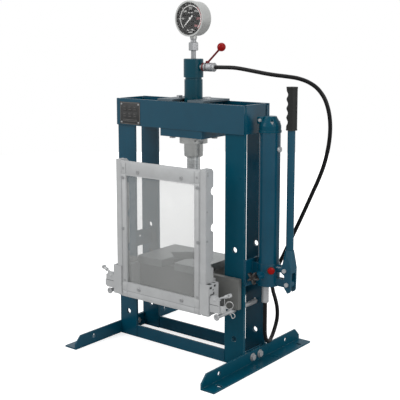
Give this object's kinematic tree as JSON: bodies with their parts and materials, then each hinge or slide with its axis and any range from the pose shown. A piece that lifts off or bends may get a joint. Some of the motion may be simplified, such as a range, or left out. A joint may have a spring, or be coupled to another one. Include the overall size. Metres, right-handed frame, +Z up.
{
  "type": "hydraulic shop press",
  "caption": "Bench-top hydraulic shop press: pinned bed with V press plates, sliding clear guard, ram with pressure gauge, and a side hand pump that feeds the ram through a hose.",
  "frame": {"origin": "middle of the four bench slots in the feet, on the ground", "axes": "+Z up along the press, +X towards the hand pump, -Y towards the guard and the operator"},
  "size_m": [0.6985, 0.474, 1.0005],
  "materials": {
    "frame_paint": "semi-gloss blue paint on steel",
    "pump_paint": "gloss blue paint on steel",
    "zinc_steel": "bright zinc plate",
    "turned_steel": "turned and polished steel",
    "gauge_steel": "satin stainless steel",
    "dial_black": "matt black with white scale",
    "needle_white": "matt white",
    "gauge_glass": "clear",
    "red_plastic": "gloss red",
    "black_plastic": "matt black",
    "hose_rubber": "satin black rubber",
    "grip_rubber": "matt black rubber",
    "bed_steel": "satin grey paint on steel",
    "press_plate_steel": "ground steel",
    "guard_aluminium": "satin grey",
    "clear_panel": "smoked clear plastic"
  },
  "bodies": {
    "root": {"left_foot": "frame_paint", "right_foot": "frame_paint", "frame_bolts": "zinc_steel", "cross_members": "frame_paint", "base_side_plates": "frame_paint", "front_left_post": "frame_paint", "front_right_post": "frame_paint", "rear_left_post": "frame_paint", "rear_right_post": "frame_paint", "left_side_tie": "frame_paint", "pump_mounting_plate": "frame_paint", "head_front_plate": "frame_paint", "head_rear_plate": "frame_paint", "head_end_plates": "frame_paint", "head_ribs": "frame_paint", "ram_bearing_plate": "frame_paint", "ram_clamp_plate": "zinc_steel", "lock_ring": "turned_steel", "cylinder_barrel": "pump_paint", "cylinder_gland": "turned_steel", "return_spring": "turned_steel", "gauge_stem": "zinc_steel", "gauge_case": "gauge_steel", "gauge_dial": "dial_black", "gauge_glass": "gauge_glass", "hose_coupler": "zinc_steel", "hose": "hose_rubber", "hose_fitting": "zinc_steel", "pump_base": "pump_paint", "pump_tank": "pump_paint", "pump_cap": "pump_paint", "pump_cap_bolts": "zinc_steel", "filler_plug": "zinc_steel", "relief_valve_cap": "red_plastic", "fulcrum_pin": "zinc_steel"},
    "needle": {"gauge_needle": "needle_white"},
    "valve": {"valve_lever": "red_plastic"},
    "ram": {"ram_rod": "turned_steel"},
    "bed": {"bed_front_bar": "bed_steel", "bed_rear_bar": "bed_steel", "bed_guide_plates": "bed_steel", "left_press_plate": "press_plate_steel", "right_press_plate": "press_plate_steel", "guard_brackets": "guard_aluminium"},
    "guard": {"guard_frame": "guard_aluminium", "guard_panel": "clear_panel", "guard_racks": "guard_aluminium", "guard_screws": "zinc_steel"},
    "left_latch": {"left_guard_latch": "guard_aluminium"},
    "right_latch": {"right_guard_latch": "guard_aluminium"},
    "left_pin": {"left_bed_pin": "zinc_steel", "left_pin_clip": "zinc_steel"},
    "right_pin": {"right_bed_pin": "zinc_steel", "right_pin_clip": "zinc_steel"},
    "handle": {"handle_socket": "pump_paint", "handle_tube": "pump_paint", "handle_grip": "grip_rubber", "drive_pin": "zinc_steel"},
    "plunger": {"pump_plunger": "zinc_steel"},
    "knob": {"release_knob": "black_plastic"}
  },
  "joints": [
    {"name": "needle_turn", "type": "hinge", "parent": "root", "child": "needle", "pos_m": [0.012, 0, 0.951], "axis": [0, 1, 0], "range_deg": [0, 270], "stiffness_Nm_per_rad": 0.002},
    {"name": "valve_turn", "type": "hinge", "parent": "root", "child": "valve", "pos_m": [0.062, 0.0095, 0.83], "axis": [0, 0, 1], "range_deg": [0, 90]},
    {"name": "ram_slide", "type": "slide", "parent": "root", "child": "ram", "axis": [0, 0, -1], "range_m": [0, 0.15], "stiffness_N_per_m": 500, "springref_m": -0.08, "deforming": ["return_spring"]},
    {"name": "bed_lift", "type": "slide", "parent": "root", "child": "bed", "axis": [0, 0, 1], "range_m": [0, 0.168]},
    {"name": "left_pin_draw", "type": "slide", "parent": "root", "child": "left_pin", "axis": [0, -1, 0], "range_m": [0, 0.028]},
    {"name": "right_pin_draw", "type": "slide", "parent": "root", "child": "right_pin", "axis": [0, -1, 0], "range_m": [0, 0.028]},
    {"name": "guard_slide", "type": "slide", "parent": "bed", "child": "guard", "axis": [0, 0, 1], "range_m": [-0.1, 0]},
    {"name": "left_latch_slide", "type": "slide", "parent": "bed", "child": "left_latch", "axis": [0, -1, 0], "range_m": [0, 0.01]},
    {"name": "right_latch_slide", "type": "slide", "parent": "bed", "child": "right_latch", "axis": [0, -1, 0], "range_m": [0, 0.01]},
    {"name": "handle_swing", "type": "hinge", "parent": "root", "child": "handle", "pos_m": [0.341, 0.0095, 0.246], "axis": [0, 1, 0], "range_deg": [0, 40]},
    {"name": "plunger_slide", "type": "slide", "parent": "root", "child": "plunger", "axis": [1, 0, 0], "range_m": [0, 0.026]},
    {"name": "release_turn", "type": "hinge", "parent": "root", "child": "knob", "pos_m": [0.27, -0.05, 0.265], "axis": [0, -1, 0], "range_deg": [0, 270]}
  ],
  "couplings": [
    {"joint": "plunger_slide", "follows": "handle_swing", "m_per_rad": 0.0369}
  ]
}
